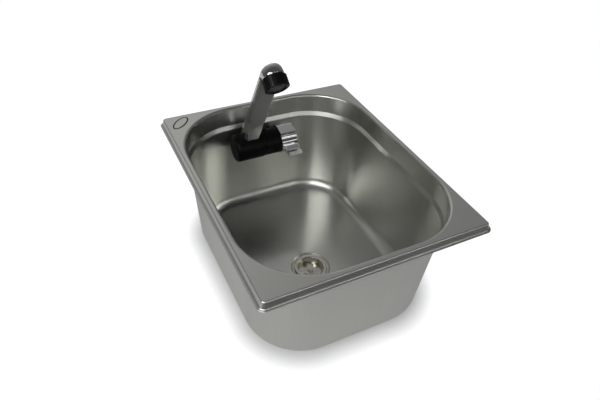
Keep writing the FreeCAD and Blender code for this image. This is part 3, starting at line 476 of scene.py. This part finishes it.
bm = bmesh.new()
crease = bm.edges.layers.float.new("crease_edge")
rings = [([bm.verts.new(corner) for corner in corners], strength) for corners, strength in rows]
for (lower, strength), (upper, _) in zip(rings, rings[1:]):
    for i in range(corner_count):
        bm.faces.new((lower[i - 1], lower[i], upper[i], upper[i - 1]))
        bm.edges.get((lower[i], upper[i]))[crease] = strength
for ring in (rings[0][0], rings[-1][0]):
    bm.faces.new(ring)
    for i in range(corner_count):
        bm.edges.get((ring[i - 1], ring[i]))[crease] = 1
bmesh.ops.transform(bm, matrix=upright, verts=bm.verts[:])
bmesh.ops.recalc_face_normals(bm, faces=bm.faces[:])
spout = finished(
    bm, "chromed_spout", chrome, "spout_arm", ["spout"], smooth_angle=180, even=False)
rounding = spout.modifiers.new("casting_rounds", "SUBSURF")
rounding.levels = casting_levels
rounding.render_levels = casting_levels

outlet_place = upright @ outlet
outlet_line = upright.to_3x3() @ outlet_axis
outlet_side = upright.to_3x3() @ outlet_up
bm = bmesh.new()
lathe(bm, outlet_place, outlet_line, outlet_side, nipple_line, nipple_bends)
finished(bm, "spout_nipple", chrome, "spout_arm")

# Nozzle ring: a black moulded collar with rounded grip bars, screwed onto the head to hold the spray disc.
# Its lower edge is turned in over the disc, and it is a little glossier than the rest of the tap.
ring_line = [
    (0.0118, 0.0005), (0.0136, 0.0005), (0.0136, 0.0145), (0.0102, 0.0145), (0.0102, 0.0129),
    (0.0118, 0.0129), (0.0118, 0.0005)]
ring_bends = [0.0005, 0.0009, 0.0004, 0, 0]
ring_steps = 80
bar_count = 24
bar_size = (0.0016, 0.0014, 0.0128)
bar_reach = 0.01378
bar_middle = 0.0075
bar_round = 0.0003
ring_shine = 0.3
ring_plastic = finish("ring_plastic", *black_shades, roughness=0.34, spread=0.04, grain=2600, relief=0.05)
ring_plastic.node_tree.nodes["Principled BSDF"].inputs["Specular IOR Level"].default_value = ring_shine
bm = bmesh.new()
lathe(bm, outlet_place, outlet_line, outlet_side, ring_line, ring_bends, ring_steps)
ring_faces = set(bm.faces)
bar_frame = Matrix((Vector((1, 0, 0)), outlet_side, outlet_line)).transposed().to_4x4()
bar_place = Matrix.Translation(outlet_place + outlet_line * bar_middle) @ bar_frame
bar_place = bar_place @ Matrix.Translation((0, bar_reach, 0)) @ Matrix.Diagonal((*bar_size, 1))
bar = bmesh.ops.create_cube(bm, size=1, matrix=bar_place)
softened(bm, once_each(e for v in bar["verts"] for e in v.link_edges), bar_round, segments=2)
bar_faces = [f for f in bm.faces if f not in ring_faces]
bar_edges = once_each(e for f in bar_faces for e in f.edges)
bar_verts = once_each(v for f in bar_faces for v in f.verts)
bmesh.ops.spin(
    bm, geom=bar_faces + bar_edges + bar_verts, cent=outlet_place, axis=outlet_line,
    angle=full_turn * (bar_count - 1) / bar_count, steps=bar_count - 1, use_duplicate=True)
finished(bm, "knurled_ring", ring_plastic, "nozzle", ["nozzle_ring"])

# Lever: a chromed casting with a grooved round end over the switch and a grooved tab to the front.
# A screw under a small cap clamps it to the valve's spindle.
lever_left, lever_floor, lever_right = 0.0153, 0.0331, 0.0376
lever_radius = 0.019
cavity_radius = 0.0168
crest_angle = 94
back_turn = math.radians(286)
front_corners = (
    # radius, angle, bend
    (0.0173, 33, 0.008),
    (lever_radius, 46, 0.0005),
    (lever_radius, 54, 0.0005),
)
front_share = 0.45
end_round = 0.0006
tab_left = 0.0186
tab_slope = math.radians(9)
tab_root, tab_tip = 0.0172, 0.034
tab_half = 0.00275
tab_root_depth = 0.0068
tab_tops = [tab_root, 0.0212, 0.0236, 0.0262, 0.0288, 0.0312, tab_tip]
tab_lifts = [tab_half, tab_half, 0.0017, 0.00135, 0.0017, tab_half, tab_half]
tab_round = 0.0005
tab_angle = 0.5
button_line = [(0.0, 0.0364), (0.00385, 0.0364), (0.00385, 0.0378), (0.0, 0.0379)]
button_bends = [0, 0.0004]
button_steps = 32


def at_lever(x, forward, up):
    return tap + Vector((x, -forward, up))


def on_lever(x, radius, degrees):
    return at_lever(x, radius * math.cos(math.radians(degrees)), radius * math.sin(math.radians(degrees)))


def at_tab(along, lift):
    forward = along * math.cos(tab_slope) + lift * math.sin(tab_slope)
    return at_lever(tab_left, forward, lift * math.cos(tab_slope) - along * math.sin(tab_slope))


bm = bmesh.new()
lever_middle = on_lever(lever_left, 0, 0)
crest = bm.verts.new(on_lever(lever_left, lever_radius, crest_angle))
back = bmesh.ops.spin(
    bm, geom=[crest], cent=lever_middle, axis=(1, 0, 0), angle=-back_turn, steps=turn_steps)
arc_end = verts_of(back["geom_last"])[0]
chain = [arc_end] + [bm.verts.new(on_lever(lever_left, r, a)) for r, a, _ in front_corners] + [crest]
for pair in zip(chain, chain[1:]):
    bm.edges.new(pair)
for vert, (_, _, bend) in zip(chain[1:-1], front_corners):
    rounded_corner(bm, vert, bend, front_share)
rim_edges = bm.edges[:]
right_side = bmesh.ops.extrude_edge_only(bm, edges=rim_edges)["geom"]
bmesh.ops.translate(bm, vec=(lever_right - lever_left, 0, 0), verts=verts_of(right_side))
end_edges = edges_of(right_side)
bmesh.ops.edgeloop_fill(bm, edges=end_edges)
mouth_place = Matrix.Translation(lever_middle) @ Matrix.Rotation(math.radians(90), 4, "Y")
known = set(bm.edges)
bmesh.ops.create_circle(bm, segments=turn_steps, radius=cavity_radius, matrix=mouth_place)
mouth_edges = [e for e in bm.edges if e not in known]
cavity = bmesh.ops.extrude_edge_only(bm, edges=mouth_edges)["geom"]
bmesh.ops.translate(bm, vec=(lever_floor - lever_left, 0, 0), verts=verts_of(cavity))
bmesh.ops.edgeloop_fill(bm, edges=edges_of(cavity))
bmesh.ops.triangle_fill(bm, use_beauty=True, edges=rim_edges + mouth_edges)
bmesh.ops.recalc_face_normals(bm, faces=bm.faces[:])
softened(bm, end_edges, end_round)

tab_points = [at_tab(along, lift) for along, lift in zip(tab_tops, tab_lifts)]
tab_points += [at_tab(tab_tip, -tab_half), at_tab(tab_root, -tab_root_depth)]
known = set(bm.faces)
side = bm.faces.new([bm.verts.new(p) for p in tab_points])
tab_end = bmesh.ops.extrude_face_region(bm, geom=[side])["geom"]
bmesh.ops.translate(bm, vec=(lever_right - tab_left, 0, 0), verts=verts_of(tab_end))
tab_faces = [f for f in bm.faces if f not in known]
bmesh.ops.recalc_face_normals(bm, faces=tab_faces)
tab_edges = once_each(e for f in tab_faces for e in f.edges if e.calc_face_angle() > tab_angle)
softened(bm, tab_edges, tab_round, clamp=True)
finished(bm, "chromed_lever", chrome, "lever", ["lever"], smooth_angle=35)

bm = bmesh.new()
lathe(bm, tap, (1, 0, 0), (0, 0, 1), button_line, button_bends, button_steps)
finished(bm, "lever_button", chrome, "lever", ["lever_cap"])

# Inner and rear pieces: seals, screws, brass pivot, valve, switch and the fixings behind the wall.
# They keep their turned and moulded shapes and get the finish of their material.
# The inside of the waste pot, under the strainer's holes, is lit by a painted glow: its plastic gives off
# light though no lamp shines in there.
screw_steel = finish(
    "turned_steel", (0.4, 0.4, 0.4), (0.5, 0.5, 0.5),
    metallic=1, roughness=0.36, spread=0.05, grain=700, relief=0.1)
brass = finish(
    "turned_brass", (0.5, 0.36, 0.15), (0.58, 0.43, 0.2),
    metallic=1, roughness=0.36, spread=0.05, grain=700, relief=0.1)
rubber = finish(
    "black_rubber", (0.012, 0.012, 0.012), (0.022, 0.022, 0.021),
    roughness=0.75, spread=0.08, grain=1500, relief=0.2)
waste_plastic_and_glow = finish(
    "grey_plastic_and_glow", (0.5, 0.5, 0.48), (0.56, 0.56, 0.54),
    roughness=0.45, spread=0.06, grain=1200, relief=0.1)
fixing_plastic = finish(
    "dark_plastic", (0.03, 0.03, 0.033), (0.045, 0.045, 0.05),
    roughness=0.45, spread=0.06, grain=1500, relief=0.1)
spray_plastic = finish(
    "spray_plastic", (0.09, 0.09, 0.095), (0.12, 0.12, 0.125),
    roughness=0.4, spread=0.05, grain=1500, relief=0.1)
acetal = finish(
    "white_acetal", (0.68, 0.66, 0.6), (0.74, 0.72, 0.66),
    roughness=0.4, spread=0.05, grain=1200, relief=0.08)
switch_plastic = finish(
    "switch_plastic", (0.02, 0.02, 0.022), (0.03, 0.03, 0.033),
    roughness=0.36, spread=0.05, grain=1500, relief=0.05)
red_plastic = finish(
    "red_plastic", (0.35, 0.03, 0.02), (0.42, 0.045, 0.03),
    roughness=0.38, spread=0.05, grain=1500, relief=0.05)
pot_inside = 0.0222
pot_outside = 0.0236
painted_pot_glow = 0.1


def vector_step(nodes, operation, other=(0, 0, 0)):
    """A node that works on a place, with a fixed second place where the operation takes one."""
    node = nodes.new("ShaderNodeVectorMath")
    node.operation = operation
    node.inputs[1].default_value = other
    return node


# Painted light: the plastic glows inside the pot's wall and not outside it, so the pot looks lit from
# within.
nodes = waste_plastic_and_glow.node_tree.nodes
links = waste_plastic_and_glow.node_tree.links
pot_bsdf = nodes["Principled BSDF"]
pot_bsdf.inputs["Emission Strength"].default_value = painted_pot_glow
pot_place = nodes.new("ShaderNodeTexCoord")
pot_flat = vector_step(nodes, "MULTIPLY", (1, 1, 0))
pot_reach = vector_step(nodes, "DISTANCE", drain)
painted_glow_mask = graded(nodes, pot_inside, pot_outside, 1, 0)
links.new(pot_place.outputs["Object"], pot_flat.inputs[0])
links.new(pot_flat.outputs["Vector"], pot_reach.inputs[0])
links.new(pot_reach.outputs["Value"], painted_glow_mask.inputs["Value"])
links.new(painted_glow_mask.outputs["Result"], pot_bsdf.inputs["Emission Color"])
slot_finish = {
    "stainless_steel": steel,
    "drain_metal": drain_metal,
    "screw_steel": screw_steel,
    "brass": brass,
    "rubber": rubber,
    "drain_plastic": waste_plastic_and_glow,
    "tap_plastic": black_plastic,
    "fixing_plastic": fixing_plastic,
    "chrome": chrome,
    "spray_plastic": spray_plastic,
    "valve_plastic": acetal,
    "switch_plastic": switch_plastic,
    "plunger_plastic": red_plastic,
}
for subpart in frame["record"]["subparts"]:
    node = frame["nodes"][subpart["node"]]
    for material_slot in node.material_slots:
        material_slot.material = slot_finish[subpart["material_slot"]]

# Table: a plain pale top with room under the bowl for its waste. It keeps the bowl's shadow.
# To the camera it glows white away from the bowl's foot and less close to it, which paints a shadow round
# the bowl beside its real one.
# In the metal it is dim near the bowl and lighter far behind it.
table_level = -0.1411
table_half = (0.8, 0.6)
table_middle = 0.3
table_colour = (0.5, 0.5, 0.5, 1)
table_roughness = 0.9
table_white = (0.985, 0.99, 1, 1)
foot_reach = (0.055, 0.105)
foot_glow = (0.14, 0.95)
far_reach = (0.17, 0.27)
far_glow = (0.16, 0.36)
waste_room = 0.06
room_steps = 48
table_paint = bpy.data.materials.new("table_white")
table_paint.use_nodes = True
nodes = table_paint.node_tree.nodes
links = table_paint.node_tree.links
table_bsdf = nodes["Principled BSDF"]
table_bsdf.inputs["Base Color"].default_value = table_colour
table_bsdf.inputs["Roughness"].default_value = table_roughness
table_bsdf.inputs["Emission Color"].default_value = table_white
table_rays = nodes.new("ShaderNodeLightPath")
table_place = nodes.new("ShaderNodeTexCoord")
table_side = vector_step(nodes, "ABSOLUTE")
past_core = vector_step(nodes, "SUBTRACT", (*core, 1))
beside_core = vector_step(nodes, "MAXIMUM")
table_reach = vector_step(nodes, "LENGTH")
# Painted shadow: the camera glow is low at the bowl's foot and rises to white further out.
painted_foot_shadow = graded(nodes, *foot_reach, *foot_glow, smooth=True)
table_glow = nodes.new("ShaderNodeMath")
table_glow.operation = "MULTIPLY"
table_depth = nodes.new("ShaderNodeSeparateXYZ")
table_far = graded(nodes, *far_reach, *far_glow, smooth=True)
table_gleam = nodes.new("ShaderNodeMath")
table_gleam.operation = "MULTIPLY_ADD"
links.new(table_place.outputs["Object"], table_side.inputs[0])
links.new(table_side.outputs["Vector"], past_core.inputs[0])
links.new(past_core.outputs["Vector"], beside_core.inputs[0])
links.new(beside_core.outputs["Vector"], table_reach.inputs[0])
links.new(table_reach.outputs["Value"], painted_foot_shadow.inputs["Value"])
links.new(table_rays.outputs["Is Camera Ray"], table_glow.inputs[0])
links.new(painted_foot_shadow.outputs["Result"], table_glow.inputs[1])
links.new(table_place.outputs["Object"], table_depth.inputs["Vector"])
links.new(table_depth.outputs["Y"], table_far.inputs["Value"])
links.new(table_rays.outputs["Is Glossy Ray"], table_gleam.inputs[0])
links.new(table_far.outputs["Result"], table_gleam.inputs[1])
links.new(table_glow.outputs[0], table_gleam.inputs[2])
links.new(table_gleam.outputs[0], table_bsdf.inputs["Emission Strength"])
bm = bmesh.new()
bmesh.ops.create_grid(bm, x_segments=1, y_segments=1, size=1, matrix=Matrix.Diagonal((*table_half, 1, 1)))
bmesh.ops.translate(bm, vec=(0, table_middle, 0), verts=bm.verts[:])
bmesh.ops.create_circle(bm, segments=room_steps, radius=waste_room, matrix=Matrix.Translation(drain))
bmesh.ops.delete(bm, geom=bm.faces[:], context="FACES_ONLY")
bmesh.ops.triangle_fill(bm, use_beauty=True, edges=bm.edges[:])
bmesh.ops.translate(bm, vec=(0, 0, table_level), verts=bm.verts[:])
table_mesh = bpy.data.meshes.new("table")
bm.to_mesh(table_mesh)
bm.free()
table_mesh.materials.append(table_paint)
table = bpy.data.objects.new("table", table_mesh)
scene.collection.objects.link(table)

# Studio: white to the camera all round. The metal sees a pale backdrop behind the bowl in a darker room.
# A broad panel at the front left lights the walls, and two strips in front draw out the bends of the rim.
backdrop_side = (0.1, 0.87, 0.48)
backdrop_span = (0.86, 0.985)
backdrop_light = (0.0, 0.28)
room_span = (0.3, 0.85)
room_light = (0.08, 0.27)
surround = bpy.data.worlds.new("studio")
scene.world = surround
surround.use_nodes = True
nodes = surround.node_tree.nodes
links = surround.node_tree.links
backdrop = nodes["Background"]
backdrop.inputs["Color"].default_value = (1, 1, 1, 1)
direction = nodes.new("ShaderNodeTexCoord")
facing = vector_step(nodes, "DOT_PRODUCT", backdrop_side)
backdrop_edge = graded(nodes, *backdrop_span, *backdrop_light, smooth=True)
room = graded(nodes, *room_span, *room_light, smooth=True)
room_and_backdrop = nodes.new("ShaderNodeMath")
room_and_backdrop.operation = "ADD"
rays = nodes.new("ShaderNodeLightPath")
brightness = nodes.new("ShaderNodeMath")
brightness.operation = "MAXIMUM"
links.new(direction.outputs["Generated"], facing.inputs[0])
links.new(facing.outputs["Value"], backdrop_edge.inputs["Value"])
links.new(facing.outputs["Value"], room.inputs["Value"])
links.new(room.outputs["Result"], room_and_backdrop.inputs[0])
links.new(backdrop_edge.outputs["Result"], room_and_backdrop.inputs[1])
links.new(rays.outputs["Is Camera Ray"], brightness.inputs[0])
links.new(room_and_backdrop.outputs[0], brightness.inputs[1])
links.new(brightness.outputs[0], backdrop.inputs["Strength"])


def lamp(name, *, place, aim, size, power):
    light = bpy.data.lights.new(name, "AREA")
    light.shape = "RECTANGLE"
    light.size, light.size_y = size
    light.energy = power
    holder = bpy.data.objects.new(name, light)
    holder.location = place
    holder.rotation_euler = (Vector(aim) - Vector(place)).to_track_quat("-Z", "Y").to_euler()
    scene.collection.objects.link(holder)


lamp("left_panel", place=(-0.88, -0.56, 0.68), aim=(0, 0, -0.1), size=(1.1, 0.7), power=10)
lamp("front_strip", place=(0.1, -1.0, 0.24), aim=(0, 0, 0), size=(1.6, 0.1), power=1.6)
lamp("upper_strip", place=(0.1, -1.0, 0.62), aim=(0, 0, -0.1), size=(1.6, 0.08), power=1.1)

# Camera: at the photograph's angle, looking down over the front left corner of the bowl.
# It is rolled a little, and its lens takes in the whole bowl with white round it.
azimuth = math.radians(-28.86)
elevation = math.radians(40.66)
roll = math.radians(4.03)
distance = 0.5654
target = Vector((-0.03795, -0.04853, 0.009))
level_reach = math.cos(elevation)
away = Vector((math.sin(azimuth) * level_reach, -math.cos(azimuth) * level_reach, math.sin(elevation)))
level_x = Vector((0, 0, 1)).cross(away).normalized()
level_y = away.cross(level_x)
right = level_x * math.cos(roll) + level_y * math.sin(roll)
up = level_y * math.cos(roll) - level_x * math.sin(roll)
camera = bpy.data.cameras.new("camera")
camera.sensor_width = 36
camera.lens = 32.054
camera.clip_start = 0.01
eye = bpy.data.objects.new("camera", camera)
eye.matrix_world = Matrix((right, up, away)).transposed().to_4x4()
eye.location = target + away * distance
scene.collection.objects.link(eye)
scene.camera = eye
